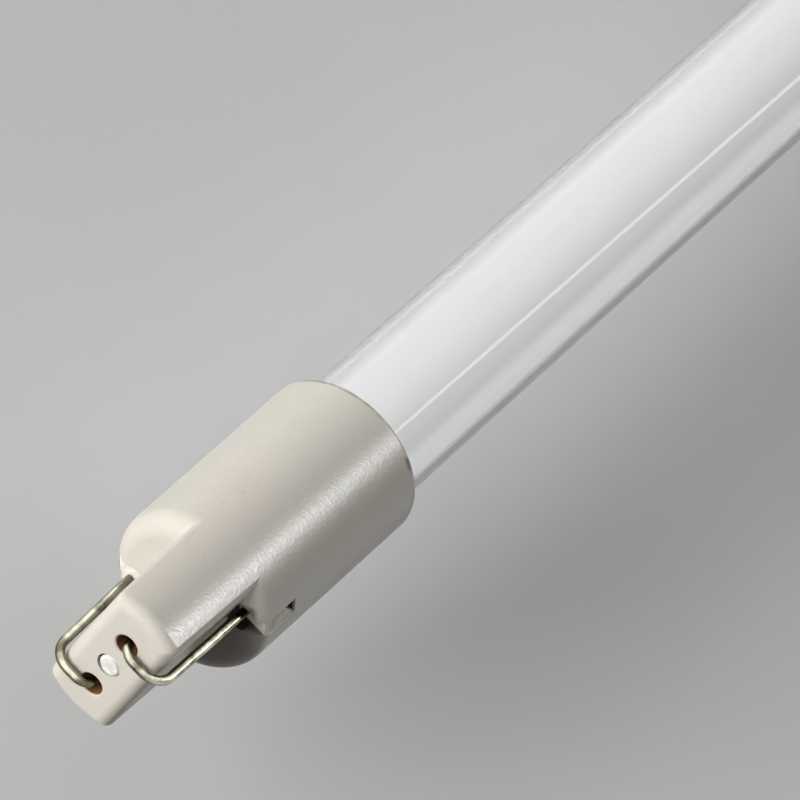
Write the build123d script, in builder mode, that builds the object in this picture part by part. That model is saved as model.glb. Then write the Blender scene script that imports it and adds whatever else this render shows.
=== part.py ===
# A straight discharge lamp: a clear quartz tube with a pressed ceramic cap cemented on each end.
# Millimetres, +Z up. The lamp lies along X with the middle of its axis at the origin. The front cap
# is at -X. Each cap ends in an upright slab, and two bent terminal wires hook over the slab's end.
# Lengths along the lamp are measured from a cap's mouth, where the glass goes in, towards its end.
import os
from math import cos, pi, radians, sin, tan

from build123d import *

# The lamp, between the end faces of its two caps
lamp_length = 212.0

# The quartz tube: how much of it goes into a cap, and the flat seal that closes its end
tube_diameter = 16.0
tube_wall = 1.0
straight_inside = 5.5
seal_taper = 3.5
seal_length = 9.0
seal_width = 12.6
seal_cavity_height = 0.9

# The ceramic cap: a round barrel, and the slab left where its end is cut away on both sides
cap_wall = 1.6
cap_web = 4.6
slab_length = 13.7
slab_draft = 1.0
mouth_round = 0.4
bore_round = 1.0
shoulder_round = 2.4
slab_side_round = 0.8
slab_end_round = 1.5

# The holes in the slab's end face: two for the wires' tips, and one that is plugged with cement
tip_hole_diameter = 2.8
tip_hole_floor = 2.0
tip_hole_round = 0.25
plug_hole_diameter = 3.0
plug_hole_depth = 1.5
plug_gap = 0.18
plug_chamfer = 0.25

# The slots in the shoulders, which the terminal wires come out of. Each is filled with cement up
# to a pit at its inner end. The lower wire's pocket is filled too, and the upper one is open.
slot_width = 1.8
slot_past_web = 2.1
pocket_diameter = 3.3
pocket_depth = 1.5
pocket_fills = {"upper": 0.0, "lower": pocket_depth}
slot_cement_recess = 0.15
pit_length = 2.2

# The bent terminal wires: where they leave the bore and pass the slab's root, how far each closes
# in on the slab, and how they hook over its end
terminal_diameter = 1.1
exit_elevation = 38.4
terminal_root_gap = 0.45
splays = {"upper": 0.1, "lower": 0.35}
splay_start = 1.0
splay_bend = 20.0
terminal_lift = 0.3
terminal_bend = 2.4
terminal_tip_bend = 1.8
terminal_tip_depth = 3.0

# The cement ring between the glass and the cap
cement_gap = 0.3
cement_inset = 0.6

# The leads, the seal foils, and the ferrules that join the leads to the terminal wires
outer_lead_diameter = 0.8
inner_lead_diameter = 0.7
lead_spacing = 7.2
lead_stub = 0.7
lead_rise_length = 1.9
lead_bend = 0.8
foil_width = 2.2
foil_thickness = 0.05
foil_inset = 1.2
foil_cover = 2.4
ferrule_length = 2.6
ferrule_wall = 0.3
ferrule_web = 0.2
ferrule_clearance = 0.23
ferrule_end_gap = 0.8
wire_stub = 0.3

# The coiled filament, just inside the cap's mouth, and the mercury
filament_inset = 2.6
filament_wire = 0.3
coil_diameter = 1.5
coil_pitch = 0.6
coil_turns = 8
lead_tip = 0.6
mercury_diameter = 1.0
mercury_inset = 3.5

# Sizes that follow from those above
tube_radius = tube_diameter / 2
tube_bore_radius = tube_radius - tube_wall
bore_radius = tube_radius + cement_gap
cap_radius = bore_radius + cap_wall
terminal_radius = terminal_diameter / 2
ferrule_radius = terminal_radius + ferrule_wall
exit_radius = bore_radius - ferrule_clearance - ferrule_radius
root_offset = exit_radius * cos(radians(exit_elevation))
slab_thickness = 2 * (root_offset - terminal_radius - terminal_root_gap)
tip_height = exit_radius * sin(radians(exit_elevation))
outer_lead_radius = exit_radius - terminal_radius - ferrule_web - outer_lead_diameter / 2
seal_thickness = pi * (tube_radius**2 - tube_bore_radius**2) / seal_width

# Places along the lamp, from the cap's mouth
seal_start = straight_inside + seal_taper
tube_end = seal_start + seal_length
foil_start = seal_start + foil_inset
foil_end = tube_end - foil_cover
rise_start = tube_end + lead_stub
rise_end = rise_start + lead_rise_length
ferrule_start = rise_end + lead_bend
ferrule_end = ferrule_start + ferrule_length
bore_depth = ferrule_end + ferrule_end_gap
barrel_length = bore_depth + cap_web
cap_length = barrel_length + slab_length
slot_start = bore_depth - slot_past_web
mouth_x = lamp_length / 2 - cap_length

# One frame for each end: origin at the cap's mouth, X up, Z outwards along the lamp
ends = {
    "front": Plane(origin=(-mouth_x, 0, 0), x_dir=(0, 0, 1), z_dir=(-1, 0, 0)),
    "rear": Plane(origin=(mouth_x, 0, 0), x_dir=(0, 0, 1), z_dir=(1, 0, 0)),
}

# The two wires of an end are alike, half a turn apart about the lamp's axis
turns = {"upper": 0, "lower": 180}


def turned(frame, angle):
    """A frame turned about its own Z."""
    x_dir = frame.x_dir.rotate(Axis((0, 0, 0), frame.z_dir), angle)
    return Plane(frame.origin, x_dir=x_dir, z_dir=frame.z_dir)


def radial_frame(end, turn):
    """An end's frame turned so that its X runs out from the axis through a wire's exit."""
    return turned(end, turn + exit_elevation - 90)


def lengthwise(frame, height=0.0):
    """A plane along the lamp at a frame's X = height, with X outwards and Y as the frame's."""
    origin = frame.from_local_coords((height, 0, 0))
    return Plane(origin=origin, x_dir=frame.z_dir, z_dir=-frame.x_dir)


def slot_outline():
    """Draw a terminal wire's slot as seen from the lamp's end: open sideways, away from the slab."""
    with Locations((tip_height, -root_offset)):
        Circle(slot_width / 2)
        Rectangle(slot_width, cap_radius, align=(Align.CENTER, Align.MAX))


def pocket_outline():
    """Draw the round pocket around a terminal wire, as seen from the lamp's end."""
    with Locations((tip_height, -root_offset)):
        Circle(pocket_diameter / 2)


os.makedirs("parts", exist_ok=True)

# The quartz tube: round, drawn down at each end and pressed flat around the seal foils
with BuildPart() as quartz_tube:
    for end in ends.values():
        with BuildSketch(end.offset(-mouth_x)):
            Circle(tube_radius)
        extrude(amount=mouth_x + straight_inside)
        with BuildSketch(end.offset(straight_inside)):
            Circle(tube_radius)
        with BuildSketch(radial_frame(end, 0).offset(seal_start)):
            Ellipse(seal_width / 2, seal_thickness / 2)
        loft()
        with BuildSketch(radial_frame(end, 0).offset(seal_start)):
            SlotOverall(seal_width, seal_thickness)
        extrude(amount=seal_length)
    for end in ends.values():
        with BuildSketch(end.offset(-mouth_x)):
            Circle(tube_bore_radius)
        extrude(amount=mouth_x + straight_inside, mode=Mode.SUBTRACT)
        with BuildSketch(end.offset(straight_inside)):
            Circle(tube_bore_radius)
        with BuildSketch(radial_frame(end, 0).offset(seal_start)):
            Ellipse(seal_width / 2 - tube_wall, seal_cavity_height / 2)
        loft(mode=Mode.SUBTRACT)
        # The channels that the sealed-in leads and foils fill
        for turn in turns.values():
            frame = radial_frame(end, turn)
            with BuildSketch(frame.offset(straight_inside)):
                with Locations((lead_spacing / 2, 0)):
                    Circle(inner_lead_diameter / 2)
            extrude(amount=foil_start - straight_inside, mode=Mode.SUBTRACT)
            with BuildSketch(frame.offset(foil_start)):
                with Locations((lead_spacing / 2, 0)):
                    Rectangle(foil_width, foil_thickness)
            extrude(amount=foil_end - foil_start, mode=Mode.SUBTRACT)
            with BuildSketch(frame.offset(foil_end)):
                with Locations((lead_spacing / 2, 0)):
                    Circle(outer_lead_diameter / 2)
            extrude(amount=foil_cover, mode=Mode.SUBTRACT)
quartz_tube.part.label = "quartz_tube"
export_step(quartz_tube.part, "parts/quartz_tube.step")

# A drop of mercury, lying in the bottom of the tube inside the rear cap
with BuildPart() as mercury_bead:
    with Locations((mouth_x + mercury_inset, 0, mercury_diameter / 2 - tube_bore_radius)):
        Sphere(mercury_diameter / 2)
mercury_bead.part.label = "mercury_bead"
export_step(mercury_bead.part, "parts/mercury_bead.step")

for side, end in ends.items():
    outwards = Axis(end.origin, end.z_dir)

    # The pressed ceramic cap: the slab first, thinner towards its end so that it leaves its die,
    # then the barrel turned around its root
    with BuildPart() as ceramic_cap:
        slab_start = barrel_length - cap_web / 2
        start_thickness = slab_thickness + cap_web * tan(radians(slab_draft))
        with BuildSketch(end.offset(slab_start)):
            Circle(cap_radius)
            Rectangle(2 * cap_radius, start_thickness, mode=Mode.INTERSECT)
        extrude(amount=cap_length - slab_start)
        with BuildSketch(lengthwise(end)):
            with Locations((slab_start, 0)):
                Trapezoid(
                    start_thickness,
                    cap_length - slab_start,
                    90 - slab_draft,
                    rotation=-90,
                    align=(Align.CENTER, Align.MIN),
                )
        extrude(amount=cap_radius, both=True, mode=Mode.INTERSECT)
        fillet(ceramic_cap.edges().filter_by(GeomType.ELLIPSE), slab_side_round)
        slab_end = ceramic_cap.faces().sort_by(outwards)[-1]
        fillet(slab_end.outer_wire().edges(), slab_end_round)
        with BuildSketch(lengthwise(end)) as barrel_profile:
            with BuildLine():
                Polyline(
                    (0, bore_radius),
                    (0, cap_radius),
                    (barrel_length, cap_radius),
                    (barrel_length, 0),
                    (bore_depth, 0),
                    (bore_depth, bore_radius),
                    close=True,
                )
            make_face()
            for corner, rounding in (
                ((0, cap_radius), mouth_round),
                ((barrel_length, cap_radius), shoulder_round),
                ((bore_depth, bore_radius), bore_round),
            ):
                fillet(barrel_profile.vertices().sort_by_distance(corner)[0], rounding)
        revolve(axis=outwards)

        # The slots and pockets that the terminal wires come out of
        for turn in turns.values():
            with BuildSketch(turned(end, turn).offset(slot_start)):
                slot_outline()
            extrude(amount=barrel_length - slot_start, mode=Mode.SUBTRACT)
            with BuildSketch(turned(end, turn).offset(barrel_length - pocket_depth)):
                pocket_outline()
            extrude(amount=pocket_depth, mode=Mode.SUBTRACT)

        # The holes in the slab's end face, with softened rims
        with Locations(end.offset(cap_length)):
            with GridLocations(2 * tip_height, 0, 2, 1):
                Hole(tip_hole_diameter / 2, depth=terminal_tip_depth + tip_hole_floor)
            Hole(plug_hole_diameter / 2, depth=plug_hole_depth)
        slab_end = ceramic_cap.faces().sort_by(outwards)[-1]
        rims = slab_end.inner_wires().edges().sort_by_distance(slab_end.center())
        fillet(rims[1:], tip_hole_round)
    ceramic_cap.part.label = f"{side}_ceramic_cap"
    export_step(ceramic_cap.part, f"parts/{side}_ceramic_cap.step")

    # The ring of basing cement between the glass and the cap
    with BuildPart() as basing_cement:
        with BuildSketch(end.offset(cement_inset)):
            Circle(bore_radius)
            Circle(tube_radius, mode=Mode.SUBTRACT)
        extrude(amount=straight_inside - cement_inset)
    basing_cement.part.label = f"{side}_basing_cement"
    export_step(basing_cement.part, f"parts/{side}_basing_cement.step")

    # The plug of white cement in the middle of the slab's end, pushed to one side of its hole
    with BuildPart() as centre_plug:
        with BuildSketch(end.offset(cap_length - plug_hole_depth)):
            with Locations((-plug_gap / 2, -plug_gap / 2)):
                Circle(plug_hole_diameter / 2 - plug_gap)
        extrude(amount=plug_hole_depth)
        chamfer(centre_plug.faces().sort_by(outwards)[-1].edges(), plug_chamfer)
    centre_plug.part.label = f"{side}_centre_plug"
    export_step(centre_plug.part, f"parts/{side}_centre_plug.step")

    # The filament: a coil filled out by its pale coating, each turn a plain ridge around it, and
    # its two tails held in the inner leads
    coil_axis = Axis(end.from_local_coords((0, 0, filament_inset)), radial_frame(end, 0).x_dir)
    with BuildPart() as filament:
        with BuildSketch(
            Plane(coil_axis.position, x_dir=coil_axis.direction, z_dir=radial_frame(end, 0).y_dir)
        ):
            tail_reach = lead_spacing / 2 + inner_lead_diameter
            core_radius = (coil_diameter - filament_wire) / 2
            from_axis = (Align.CENTER, Align.MIN)
            Rectangle(2 * tail_reach, filament_wire / 2, align=from_axis)
            Rectangle(coil_pitch * coil_turns, core_radius, align=from_axis)
            with Locations((0, core_radius)):
                with GridLocations(coil_pitch, 0, coil_turns, 1):
                    RegularPolygon(filament_wire / 2, 4)
        revolve(axis=coil_axis)
    filament.part.label = f"{side}_filament"
    export_step(filament.part, f"parts/{side}_filament.step")

    for wire, turn in turns.items():
        frame = radial_frame(end, turn)
        name = f"{side}_{wire}"

        # The cement that grips a terminal wire in its slot, cut away slantwise so that a pit shows
        with BuildPart() as slot_cement:
            side_frame = turned(end, turn)
            with BuildSketch(side_frame.offset(slot_start)):
                slot_outline()
            extrude(amount=barrel_length - pocket_depth + pocket_fills[wire] - slot_start)
            if pocket_fills[wire]:
                with BuildSketch(side_frame.offset(barrel_length - pocket_depth)):
                    pocket_outline()
                extrude(amount=pocket_fills[wire])
            with BuildSketch(lengthwise(end)) as cement_profile:
                Rectangle(
                    barrel_length, cap_radius - slot_cement_recess, align=(Align.MIN, Align.MIN)
                )
                outer_corner = (barrel_length, cap_radius)
                fillet(
                    cement_profile.vertices().sort_by_distance(outer_corner)[0], shoulder_round
                )
            revolve(axis=outwards, mode=Mode.INTERSECT)
            with BuildSketch(end):
                Circle(bore_radius)
            extrude(amount=bore_depth, mode=Mode.SUBTRACT)
            with BuildSketch(side_frame):
                with Locations((tip_height, -root_offset)):
                    Circle(terminal_radius)
            extrude(amount=cap_length, mode=Mode.SUBTRACT)
            with BuildSketch(Plane(end.origin, x_dir=end.z_dir, z_dir=side_frame.y_dir)):
                with BuildLine():
                    Polyline(
                        (slot_start, tip_height - slot_width / 2),
                        (slot_start, tip_height + slot_width / 2),
                        (slot_start + pit_length, tip_height + slot_width / 2),
                        close=True,
                    )
                make_face()
            extrude(amount=-cap_radius, mode=Mode.SUBTRACT)
        slot_cement.part.label = f"{name}_slot_cement"
        export_step(slot_cement.part, f"parts/{name}_slot_cement.step")

        # The terminal wire: out through the web, along the slab, over its end and into its hole
        with BuildPart() as terminal_wire:
            crossing = cap_length + terminal_lift + terminal_radius
            side_offset = root_offset - splays[wire]
            with BuildLine(lengthwise(turned(end, turn), tip_height)) as route:
                FilletPolyline(
                    (ferrule_start - wire_stub, -root_offset),
                    (barrel_length + splay_start, -root_offset),
                    (crossing, -side_offset),
                    (crossing, 0),
                    (cap_length - terminal_tip_depth, 0),
                    radius=(splay_bend, terminal_bend, terminal_tip_bend),
                )
            with BuildSketch(Plane(route.wire() @ 0, z_dir=route.wire() % 0)):
                Circle(terminal_radius)
            sweep()
        terminal_wire.part.label = f"{name}_terminal_wire"
        export_step(terminal_wire.part, f"parts/{name}_terminal_wire.step")

        # The outer lead, stepping out from the seal to lie beside the terminal wire
        with BuildPart() as outer_lead:
            with BuildLine(Plane(frame.origin, x_dir=frame.z_dir, z_dir=frame.y_dir)) as route:
                FilletPolyline(
                    (foil_end, lead_spacing / 2),
                    (rise_start, lead_spacing / 2),
                    (rise_end, outer_lead_radius),
                    (ferrule_end + wire_stub, outer_lead_radius),
                    radius=lead_bend,
                )
            with BuildSketch(Plane(route.wire() @ 0, z_dir=route.wire() % 0)):
                Circle(outer_lead_diameter / 2)
            sweep()
        outer_lead.part.label = f"{name}_outer_lead"
        export_step(outer_lead.part, f"parts/{name}_outer_lead.step")

        # The ferrule that joins the outer lead to the terminal wire
        with BuildPart() as ferrule:
            spacing = exit_radius - outer_lead_radius
            with BuildSketch(frame.offset(ferrule_start)):
                with Locations((exit_radius - spacing / 2, 0)):
                    SlotCenterToCenter(spacing, 2 * ferrule_radius)
                with Locations((exit_radius, 0)):
                    Circle(terminal_radius, mode=Mode.SUBTRACT)
                with Locations((outer_lead_radius, 0)):
                    Circle(outer_lead_diameter / 2, mode=Mode.SUBTRACT)
            extrude(amount=ferrule_length)
        ferrule.part.label = f"{name}_ferrule"
        export_step(ferrule.part, f"parts/{name}_ferrule.step")

        # The thin foil that carries the current through the seal
        with BuildPart() as seal_foil:
            with BuildSketch(frame.offset(foil_start)):
                with Locations((lead_spacing / 2, 0)):
                    Rectangle(foil_width, foil_thickness)
            extrude(amount=foil_end - foil_start)
        seal_foil.part.label = f"{name}_seal_foil"
        export_step(seal_foil.part, f"parts/{name}_seal_foil.step")

        # The inner lead, drilled near its tip for the filament's tail
        with BuildPart() as inner_lead:
            lead_start = filament_inset - lead_tip
            with BuildSketch(frame.offset(lead_start)):
                with Locations((lead_spacing / 2, 0)):
                    Circle(inner_lead_diameter / 2)
            extrude(amount=foil_start - lead_start)
            with BuildSketch(
                Plane(end.from_local_coords((0, 0, filament_inset)), z_dir=frame.x_dir)
            ):
                Circle(filament_wire / 2)
            extrude(amount=lead_spacing, mode=Mode.SUBTRACT)
        inner_lead.part.label = f"{name}_inner_lead"
        export_step(inner_lead.part, f"parts/{name}_inner_lead.step")
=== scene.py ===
import math

import bpy
from mathutils import Matrix, Vector


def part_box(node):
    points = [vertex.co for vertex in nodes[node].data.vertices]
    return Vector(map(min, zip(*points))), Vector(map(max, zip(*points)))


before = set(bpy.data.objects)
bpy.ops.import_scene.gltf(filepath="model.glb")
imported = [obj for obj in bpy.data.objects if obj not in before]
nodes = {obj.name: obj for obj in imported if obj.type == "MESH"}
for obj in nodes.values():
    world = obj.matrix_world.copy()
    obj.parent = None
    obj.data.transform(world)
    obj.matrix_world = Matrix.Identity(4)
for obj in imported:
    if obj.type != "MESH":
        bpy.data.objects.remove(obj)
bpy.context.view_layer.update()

MM = 0.001

# The camera, from the photograph: it looks down on the front cap, 50 degrees off the lamp's axis.
# The lamp is rolled a little about its axis, so the camera and the floor are turned with the room.
LAMP_ROLL = math.radians(3.2)
IMAGE_SIDE = 800
VIEW_ELEVATION = math.radians(50.0)
VIEW_ROLL = math.radians(48.2)
FOCAL_PIXELS = 8700
SENSOR_MM = 36.0
CLIP_RANGE = (0.01, 10.0)
CAMERA_DISTANCE = 959.5 * MM
# The picture's centre is on the lamp, this far inward from the front cap's mouth and this far aside
MOUTH_TO_CENTRE = 11.6 * MM
CENTRE_ASIDE = 0.39 * MM

# The photograph shows no contact shadow: the lamp is held above the floor
FLOOR_SIZE = 4.0
FLOOR_HEIGHT = -33 * MM
FLOOR_LIGHT = (0.78, 0.79, 0.785)
FLOOR_DARK = (0.765, 0.775, 0.77)

# Lights: where each shines from, its distance, its size (level, and along its slope), its power,
# and if it shows in what mirrors it or lights matt surfaces. The key is soft and above the cap's
# end, and side is low beside it. Strip makes the thin line on the glass, and sheen the ceramic's.
LIGHTS = {
    "key": ((-0.8, 0.42, 0.43), 1.8, (0.8, 0.8), 26.5, False),
    "side": ((-0.65, 0.757, 0.07), 1.8, (0.9, 0.2), 24.0, False),
    "strip": ((0.643, -0.397, 0.655), 0.9, (0.04, 0.8), 0.45, True),
    "sheen": ((0.48, -0.454, 0.75), 0.9, (0.1, 0.15), 8.0, True),
}

# The room's level on matt surfaces, the share of it that comes along the lamp, and how much that
# share gains towards +Y and towards overhead
SOFT_LEVEL = 0.33
SOFT_SHARE = 0.6
SOFT_SLOPE = 0.2

# What glass and metal mirror, by the angle about the lamp from overhead towards +Y, in degrees
MIRRORED = (
    (-180, 0.4), (-147, 0.5), (-119, 0.6), (-90, 1.9), (-81, 1.8), (-74, 1.4), (-62, 1.05),
    (-53, 1.55), (-35, 1.8), (-20, 2.15), (-12, 2.6), (-5, 3.0), (0, 3.1), (12, 3.4), (30, 3.7),
    (60, 3.7), (81, 2.9), (89, 3.4), (106, 1.75), (128, 1.2), (150, 0.6), (180, 0.4),
)
# and what they mirror of the floor on top of its own light, by the place across it in mm
MIRRORED_FLOOR = (
    (-300, 1.2), (-240, 1.2), (-105, 0.8), (-62, 0.5), (-50, 0.15), (-38, 0.0), (-20, 0.0),
    (-8, 0.0), (10, 0.0), (38, 0.2), (60, 0.45), (105, 1.0), (240, 1.8), (300, 1.8),
)
# A ray that has crossed more surfaces than the near wall's two sees an even room, and the floor by
# its own light alone
NEAR_WALL = 2.5
ROOM_BEHIND_GLASS = 0.5

# Colours of the ceramic, its stains and its painted shade
CERAMIC = (0.50, 0.466, 0.408)
CERAMIC_GREY = (0.48, 0.46, 0.404)
CERAMIC_PINK = (0.495, 0.455, 0.402)
FLECK = (0.3, 0.24, 0.18)
# near black brown, for dark stains and for painted shade
DARK_STAIN_AND_SHADE = (0.045, 0.03, 0.02)
STAIN_ORANGE = (0.2, 0.09, 0.035)
# brown, for the mouth's stain and for painted shade beside the upper wire
RIM_STAIN_AND_SHADE = (0.2, 0.13, 0.08)
PIT_DARK_BROWN = (0.07, 0.035, 0.018)

# Places across a cap, (across, height) as in cap_measures: the upper wire where it leaves the
# shoulder, and a spot on the mouth. The tip holes and the slots are as high as the wires.
UPPER_WIRE = (-5.66 * MM, 4.485 * MM)
WIRE_HEIGHT = UPPER_WIRE[1]
MOUTH_SPOT = (-5.5 * MM, 7.6 * MM)
# How far the edge of the dark mark round the upper wire wanders, and the spot's edge as a multiple
# of that
RAGGED = 2.0 * MM
SPOT_RAGGED = 1.5

# Each mark, a stain or painted shade, has a colour, a strength and limits. A limit is a measure of
# the cap, where the mark is full and where it has faded away, in mm, or a measure alone, which is a
# pattern from 0 to 1. This one makes the open pit at each slot's inner end dark brown, in the
# ceramic and in the slot's cement.
SLOT_PIT = (
    PIT_DARK_BROWN, 1.0,
    ("off_slot", 0.95, 1.05), ("radius", 9.4, 9.65), ("along", 24.6, 25.3), ("along", 22.65, 22.55),
)
# The ceramic's stains and painted shade, in the order in which they cover each other
STAINS_AND_SHADE = (
    # a dark stain with painted shade in the upper wire's pocket and slot
    (DARK_STAIN_AND_SHADE, 1.0, ("from_wire", 1.5, 2.1), ("along", 29.2, 29.9), ("along", 22.4, 21.4)),
    # painted shadow of the slab on the shoulder on the upper wire's side, at the wire and below it
    (DARK_STAIN_AND_SHADE, 0.9, ("across", -5.2, -4.6), ("along", 28.4, 26.9), ("height", 3.485, 6.485)),
    # painted shade of the upper wire on the slab's side behind it, and below it
    (RIM_STAIN_AND_SHADE, 0.7, ("across", -4.3, -3.9), ("height", 5.085, 6.085), ("along", 29.9, 29.4)),
    # the tip holes, up to their rounded edges
    (STAIN_ORANGE, 1.0, ("from_hole", 1.4, 1.55), ("along", 42.75, 43.0)),
    SLOT_PIT,
    # the mouth's edge, in patches
    (RIM_STAIN_AND_SHADE, 1.0, ("along", 0.4, 0.7), ("patches",)),
    # the spot on the mouth
    (DARK_STAIN_AND_SHADE, 0.8, ("from_spot", 0.5, 1.1), ("along", 0.6, 1.1)),
    # painted shade in the bore
    (DARK_STAIN_AND_SHADE, 0.85, ("radius", 8.32, 8.7), ("along", 26.0, 27.0)),
)

# Colours of the glass and of the filament's coating
QUARTZ = (0.985, 0.99, 0.99)
COATING_LIGHT = (0.8, 0.79, 0.76)
COATING_DARK = (0.55, 0.53, 0.5)

# A mix node's factor, its two inputs and its result, by what it mixes
MIX_SOCKETS = {"RGBA": (0, 6, 7, 2), "FLOAT": (0, 2, 3, 0)}

mouth_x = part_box("front_ceramic_cap")[1].x
room = Matrix.Rotation(LAMP_ROLL, 4, "X")


def look_axes(elevation, roll):
    """Right, up and back of a camera in the XZ plane that looks towards +X and down."""
    back = Vector((-math.cos(elevation), 0, math.sin(elevation)))
    level_right = Vector((0, -1, 0))
    level_up = back.cross(level_right)
    right = math.cos(roll) * level_right + math.sin(roll) * level_up
    return right, back.cross(right), back


def add_camera():
    data = bpy.data.cameras.new("camera")
    data.sensor_width = SENSOR_MM
    data.lens = FOCAL_PIXELS / IMAGE_SIDE * SENSOR_MM
    data.clip_start, data.clip_end = CLIP_RANGE
    camera = bpy.data.objects.new("camera", data)
    bpy.context.scene.collection.objects.link(camera)
    right, up, back = (room.to_3x3() @ axis for axis in look_axes(VIEW_ELEVATION, VIEW_ROLL))
    centre = Vector((mouth_x + MOUTH_TO_CENTRE, CENTRE_ASIDE, 0))
    turn = Matrix((right, up, back)).transposed().to_4x4()
    camera.matrix_world = Matrix.Translation(centre + back * CAMERA_DISTANCE) @ turn
    bpy.context.scene.camera = camera


def add_light(name, towards, distance, size, power, mirrored):
    """An area light that shines at the front cap's mouth from the direction towards. It is either
    mirrored or lights matt surfaces, and glass doesn't show it through itself."""
    data = bpy.data.lights.new(name, "AREA")
    data.shape = "RECTANGLE"
    data.size, data.size_y = size
    data.energy = power
    light = bpy.data.objects.new(name, data)
    bpy.context.scene.collection.objects.link(light)
    direction = Vector(towards).normalized()
    light.location = Vector((mouth_x, 0, 0)) + direction * distance
    light.rotation_euler = direction.to_track_quat("Z", "Y").to_euler()
    light.visible_diffuse = not mirrored
    light.visible_glossy = mirrored
    light.visible_transmission = False


def material_nodes(name, roughness, metallic=0.0):
    """A new material, with its node tree and its principled shader."""
    material = bpy.data.materials.new(name)
    material.use_nodes = True
    tree = material.node_tree
    shader = tree.nodes["Principled BSDF"]
    shader.inputs["Roughness"].default_value = roughness
    shader.inputs["Metallic"].default_value = metallic
    return material, tree, shader


def feed(tree, socket, value):
    """Gives a socket a number, a colour or another node's output."""
    if isinstance(value, (int, float)):
        socket.default_value = value
    elif isinstance(value, tuple):
        socket.default_value = (*value, 1)
    else:
        tree.links.new(value, socket)


def place(tree, scale=(1, 1, 1)):
    """Object coordinates in metres, stretched by scale."""
    coordinates = tree.nodes.new("ShaderNodeTexCoord")
    mapping = tree.nodes.new("ShaderNodeMapping")
    mapping.inputs["Scale"].default_value = scale
    tree.links.new(coordinates.outputs["Object"], mapping.inputs["Vector"])
    return mapping.outputs["Vector"]


def split(tree, vector):
    """The three coordinates of a vector."""
    node = tree.nodes.new("ShaderNodeSeparateXYZ")
    tree.links.new(vector, node.inputs["Vector"])
    return node.outputs


def noise(tree, vector, scale, detail=3.0, roughness=0.5):
    node = tree.nodes.new("ShaderNodeTexNoise")
    node.inputs["Scale"].default_value = scale
    node.inputs["Detail"].default_value = detail
    node.inputs["Roughness"].default_value = roughness
    tree.links.new(vector, node.inputs["Vector"])
    return node.outputs["Fac"]


def ramp(tree, value, *stops):
    """Colours along a value, from (position, colour) stops."""
    node = tree.nodes.new("ShaderNodeValToRGB")
    elements = node.color_ramp.elements
    elements[1].position, elements[0].position = stops[-1][0], stops[0][0]
    for position, _ in stops[1:-1]:
        elements.new(position)
    for element, (_, colour) in zip(elements, stops):
        element.color = (*colour, 1)
    tree.links.new(value, node.inputs["Fac"])
    return node.outputs["Color"]


def grey(level):
    return (level, level, level)


def math_node(tree, operation, *values):
    node = tree.nodes.new("ShaderNodeMath")
    node.operation = operation
    for socket, value in zip(node.inputs, values):
        feed(tree, socket, value)
    return node.outputs["Value"]


def product(tree, first, *others):
    """All the values multiplied together."""
    for value in others:
        first = math_node(tree, "MULTIPLY", first, value)
    return first


def mix(tree, factor, first, second, blend="MIX", kind="RGBA"):
    """Mixes two colours by a factor, or two numbers where kind is FLOAT. Each of the three is a
    socket or a constant."""
    node = tree.nodes.new("ShaderNodeMix")
    node.data_type = kind
    node.blend_type = blend
    *inputs, result = MIX_SOCKETS[kind]
    for index, value in zip(inputs, (factor, first, second)):
        feed(tree, node.inputs[index], value)
    return node.outputs[result]


def bump(tree, shader, height, distance, strength):
    node = tree.nodes.new("ShaderNodeBump")
    node.inputs["Distance"].default_value = distance
    node.inputs["Strength"].default_value = strength
    tree.links.new(height, node.inputs["Height"])
    tree.links.new(node.outputs["Normal"], shader.inputs["Normal"])


def fade(tree, value, full, none):
    """1 where a value is at full, 0 where it is at none, and smooth between."""
    node = tree.nodes.new("ShaderNodeMapRange")
    node.interpolation_type = "SMOOTHSTEP"
    node.inputs["From Min"].default_value = none
    node.inputs["From Max"].default_value = full
    tree.links.new(value, node.inputs["Value"])
    return node.outputs["Result"]


def distance_from(tree, across, height, centre):
    """Distance from a line along the lamp, whose centre is given as (across, height)."""
    squares = [
        math_node(tree, "POWER", math_node(tree, "SUBTRACT", value, middle), 2.0)
        for value, middle in zip((across, height), centre)
    ]
    return math_node(tree, "SQRT", math_node(tree, "ADD", *squares))


def cap_measures(tree):
    """Where a point is on its cap, alike at both ends: along the lamp from the cap's mouth, across
    it (the upper wire is on the negative side), its height over the axis and that without its
    sign, its radius, and how far up or down it is from the middle of the nearer wire's slot."""
    x, y, z = split(tree, place(tree))
    across = product(tree, y, math_node(tree, "SIGN", x), -1.0)
    plain_height = math_node(tree, "ABSOLUTE", z)
    off_slot = math_node(tree, "SUBTRACT", plain_height, WIRE_HEIGHT)
    return {
        "along": math_node(tree, "ADD", math_node(tree, "ABSOLUTE", x), mouth_x),
        "across": across,
        "height": z,
        "plain_height": plain_height,
        "radius": distance_from(tree, across, z, (0.0, 0.0)),
        "off_slot": math_node(tree, "ABSOLUTE", off_slot),
    }


def stained_and_shaded(tree, body, measures, stain_and_shade):
    """The body's colour with one of its marks over it, from the stains and the painted shade."""
    colour, strength, *limits = stain_and_shade
    masks = [
        fade(tree, measures[name], *(MM * end for end in ends)) if ends else measures[name]
        for name, *ends in limits
    ]
    return mix(tree, product(tree, *masks, strength), body, colour)


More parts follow.
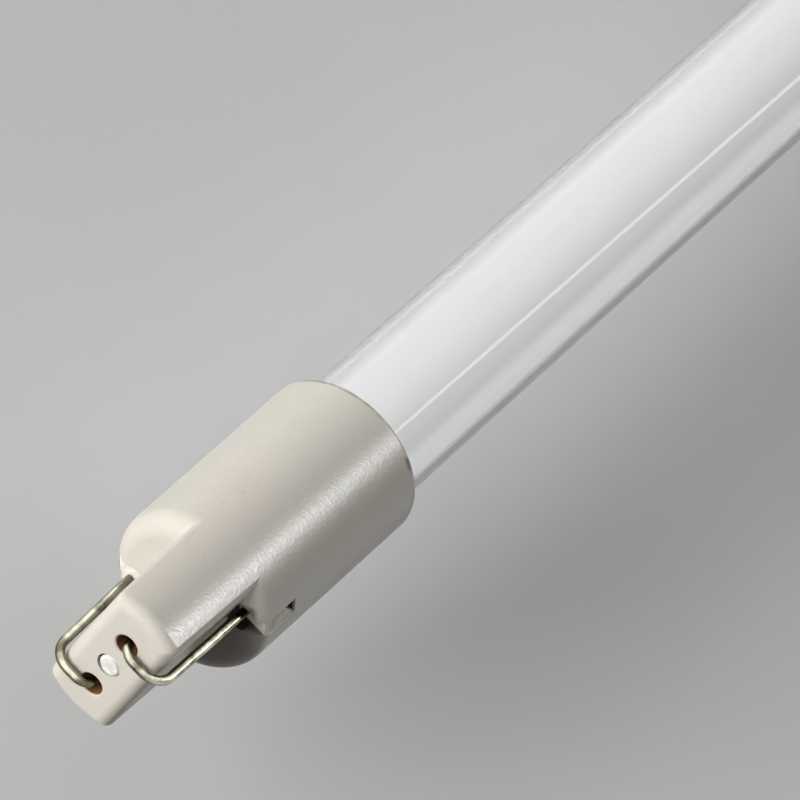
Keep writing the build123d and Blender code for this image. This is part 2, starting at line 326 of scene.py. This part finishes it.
def ceramic_material():
    """Pressed and fired steatite: satin, faintly blotched, grainy, with brown stains in its holes
    and along its mouth, dark brown in its slot pits, dark stains and painted shade round the upper
    wire's pocket and slot, painted shadow of the slab on the shoulder beside it, painted shade of
    the wire on the slab's side, and painted shade in the bore."""
    material, tree, shader = material_nodes("ceramic", roughness=0.42)
    vector = place(tree)
    blotches = noise(tree, vector, scale=90.0, detail=2.0)
    body = ramp(tree, blotches, (0.38, CERAMIC_GREY), (0.52, CERAMIC), (0.66, CERAMIC_PINK))
    clouds = noise(tree, vector, scale=420.0, detail=4.0, roughness=0.6)
    shades = ramp(tree, clouds, (0.3, grey(0.93)), (0.7, grey(1.0)))
    body = mix(tree, 0.5, body, shades, blend="MULTIPLY")
    flecks = noise(tree, vector, scale=1500.0, detail=1.0)
    body = mix(tree, ramp(tree, flecks, (0.74, grey(0)), (0.8, grey(0.55))), body, FLECK)

    measures = cap_measures(tree)
    across, height = measures["across"], measures["height"]
    ragged = product(tree, math_node(tree, "SUBTRACT", clouds, 0.5), RAGGED)
    from_wire = distance_from(tree, across, height, UPPER_WIRE)
    from_spot = distance_from(tree, across, height, MOUTH_SPOT)
    rim_noise = noise(tree, vector, scale=260.0, detail=3.0, roughness=0.7)
    measures["from_wire"] = math_node(tree, "ADD", from_wire, ragged)
    measures["from_spot"] = math_node(tree, "ADD", from_spot, product(tree, ragged, SPOT_RAGGED))
    measures["from_hole"] = distance_from(
        tree, across, measures["plain_height"], (0.0, WIRE_HEIGHT)
    )
    measures["patches"] = ramp(tree, rim_noise, (0.46, grey(0)), (0.6, grey(0.85)))
    # Lays the stains and the painted shade over the body, in order
    for stain_and_shade in STAINS_AND_SHADE:
        body = stained_and_shaded(tree, body, measures, stain_and_shade)
    tree.links.new(body, shader.inputs["Base Color"])

    grain = noise(tree, vector, scale=2600.0, detail=3.0, roughness=0.6)
    satin = ramp(tree, grain, (0.3, grey(0.32)), (0.7, grey(0.38)))
    tree.links.new(satin, shader.inputs["Roughness"])
    shader.inputs["Specular IOR Level"].default_value = 0.4
    hollows = product(tree, noise(tree, vector, scale=700.0, detail=2.0), 0.6)
    bump(tree, shader, math_node(tree, "ADD", hollows, grain), distance=0.03 * MM, strength=0.8)
    return material


def cement_material(name, light, dark):
    """Coarse, matt cement, lighter and darker in patches."""
    material, tree, shader = material_nodes(name, roughness=0.85)
    vector = place(tree)
    patches = noise(tree, vector, scale=900.0, detail=4.0, roughness=0.6)
    body = ramp(tree, patches, (0.35, dark), (0.6, light))
    body = stained_and_shaded(tree, body, cap_measures(tree), SLOT_PIT)
    tree.links.new(body, shader.inputs["Base Color"])
    crumbs = noise(tree, vector, scale=2600.0, detail=4.0, roughness=0.7)
    bump(tree, shader, crumbs, distance=0.12 * MM, strength=0.7)
    return material


def wire_material(name, clean, tarnish, roughness):
    """Drawn wire: bright metal with patches of tarnish and fine marks along it."""
    material, tree, shader = material_nodes(name, roughness, metallic=1.0)
    patches = noise(tree, place(tree), scale=350.0, detail=3.0, roughness=0.6)
    body = ramp(tree, patches, (0.4, clean), (0.62, tarnish))
    tree.links.new(body, shader.inputs["Base Color"])
    marks = noise(tree, place(tree, scale=(0.12, 1, 1)), scale=5200.0, detail=2.0)
    low, high = grey(roughness * 0.8), grey(roughness * 1.35)
    tree.links.new(ramp(tree, marks, (0.35, low), (0.65, high)), shader.inputs["Roughness"])
    bump(tree, shader, marks, distance=0.006 * MM, strength=0.6)
    return material


def quartz_material():
    """Clear fused quartz, with the faint drawn lines that such tubing has along it."""
    material, tree, shader = material_nodes("quartz", roughness=0.0)
    feed(tree, shader.inputs["Base Color"], QUARTZ)
    shader.inputs["Transmission Weight"].default_value = 1.0
    shader.inputs["IOR"].default_value = 1.46
    lines = noise(tree, place(tree, scale=(0.02, 1, 1)), scale=500.0, detail=2.0)
    bump(tree, shader, lines, distance=0.004 * MM, strength=0.5)
    return material


def coating_material():
    """The pale oxide powder on the filament's coil."""
    material, tree, shader = material_nodes("coated_tungsten", roughness=0.9)
    crumbs = noise(tree, place(tree), scale=3000.0, detail=3.0)
    body = ramp(tree, crumbs, (0.35, COATING_DARK), (0.6, COATING_LIGHT))
    tree.links.new(body, shader.inputs["Base Color"])
    bump(tree, shader, crumbs, distance=0.05 * MM, strength=0.8)
    return material


def profile(tree, value, table, unit):
    """The level at a value, as a share of the table's highest level, and that highest level. The
    table holds (place, level), with its places in units and as far below 0 as above it."""
    reach = 2 * table[-1][0]
    peak = max(level for _, level in table)
    position = math_node(tree, "ADD", math_node(tree, "DIVIDE", value, reach * unit), 0.5)
    stops = [(0.5 + place_across / reach, grey(level / peak)) for place_across, level in table]
    return ramp(tree, position, *stops), peak


def mirrored_once(tree):
    """Two values: 1 for a ray off a surface that mirrors or refracts, and 1 for a ray that has
    crossed no more than the tube's near wall. Both are 0 otherwise."""
    path = tree.nodes.new("ShaderNodeLightPath").outputs
    mirror_ray = math_node(tree, "MAXIMUM", path["Is Glossy Ray"], path["Is Transmission Ray"])
    return mirror_ray, math_node(tree, "LESS_THAN", path["Transmission Depth"], NEAR_WALL)


def floor_material():
    """Plain pale paper, with a barely seen unevenness. What glass and metal mirror of it is lit
    like the room beyond it."""
    material, tree, shader = material_nodes("floor_paper", roughness=0.95)
    cloud = noise(tree, place(tree), scale=9.0, detail=1.0)
    paper = ramp(tree, cloud, (0.3, FLOOR_DARK), (0.7, FLOOR_LIGHT))
    tree.links.new(paper, shader.inputs["Base Color"])
    shader.inputs["Specular IOR Level"].default_value = 0.0
    level, peak = profile(tree, split(tree, place(tree))[1], MIRRORED_FLOOR, MM)
    tree.links.new(level, shader.inputs["Emission Color"])
    strength = product(tree, *mirrored_once(tree), peak)
    tree.links.new(strength, shader.inputs["Emission Strength"])
    material.cycles.emission_sampling = "NONE"
    return material


def add_world():
    """The room: a soft level for matt surfaces, brighter towards +Y and overhead, and what glass
    and metal mirror of it, a wide white band from overhead down to +Y."""
    world = bpy.data.worlds.new("world")
    bpy.context.scene.world = world
    world.use_nodes = True
    tree = world.node_tree
    background = tree.nodes["Background"]
    direction = tree.nodes.new("ShaderNodeTexCoord").outputs["Generated"]
    _, y, z = split(tree, direction)
    angle = math_node(tree, "ADD", math_node(tree, "ARCTAN2", y, z), LAMP_ROLL)
    level, peak = profile(tree, angle, MIRRORED, math.radians(1))
    mirror_ray, once = mirrored_once(tree)
    seen = mix(tree, once, ROOM_BEHIND_GLASS, product(tree, level, peak), kind="FLOAT")
    slope = product(tree, math_node(tree, "ADD", y, z), SOFT_SLOPE)
    soft = product(tree, math_node(tree, "ADD", slope, SOFT_SHARE), SOFT_LEVEL)
    strength = mix(tree, mirror_ray, soft, seen, kind="FLOAT")
    tree.links.new(strength, background.inputs["Strength"])
    feed(tree, background.inputs["Color"], grey(1))


def add_floor():
    bpy.ops.mesh.primitive_plane_add(size=FLOOR_SIZE)
    floor = bpy.context.object
    floor.name = "floor"
    floor.matrix_world = room @ Matrix.Translation((0, 0, FLOOR_HEIGHT))
    floor.data.materials.append(floor_material())
    return floor


add_camera()
add_world()
for light_name, settings in LIGHTS.items():
    add_light(light_name, *settings)
floor = add_floor()

# Each node's finish, by how its name ends
finishes = {
    "ceramic_cap": ceramic_material(),
    "basing_cement": cement_material(
        "basing_cement", light=(0.62, 0.55, 0.44), dark=(0.42, 0.34, 0.24)
    ),
    "slot_cement": cement_material(
        "slot_cement", light=(0.66, 0.63, 0.57), dark=(0.5, 0.46, 0.39)
    ),
    "centre_plug": cement_material(
        "plug_cement", light=(0.66, 0.65, 0.62), dark=(0.5, 0.48, 0.45)
    ),
    "terminal_wire": wire_material(
        "nickel", clean=(0.3, 0.285, 0.225), tarnish=(0.07, 0.07, 0.04), roughness=0.22
    ),
    "ferrule": wire_material(
        "nickel_ferrule", clean=(0.55, 0.53, 0.48), tarnish=(0.4, 0.37, 0.3), roughness=0.3
    ),
    ("outer_lead", "inner_lead", "seal_foil"): wire_material(
        "molybdenum", clean=(0.42, 0.43, 0.45), tarnish=(0.3, 0.3, 0.31), roughness=0.35
    ),
    "quartz_tube": quartz_material(),
    "filament": coating_material(),
    "mercury_bead": wire_material(
        "mercury", clean=(0.78, 0.78, 0.8), tarnish=(0.7, 0.7, 0.72), roughness=0.06
    ),
}
for name, node in nodes.items():
    for ending, material in finishes.items():
        if name.endswith(ending):
            for slot in node.material_slots:
                slot.material = material

bpy.context.scene.view_settings.view_transform = "Standard"
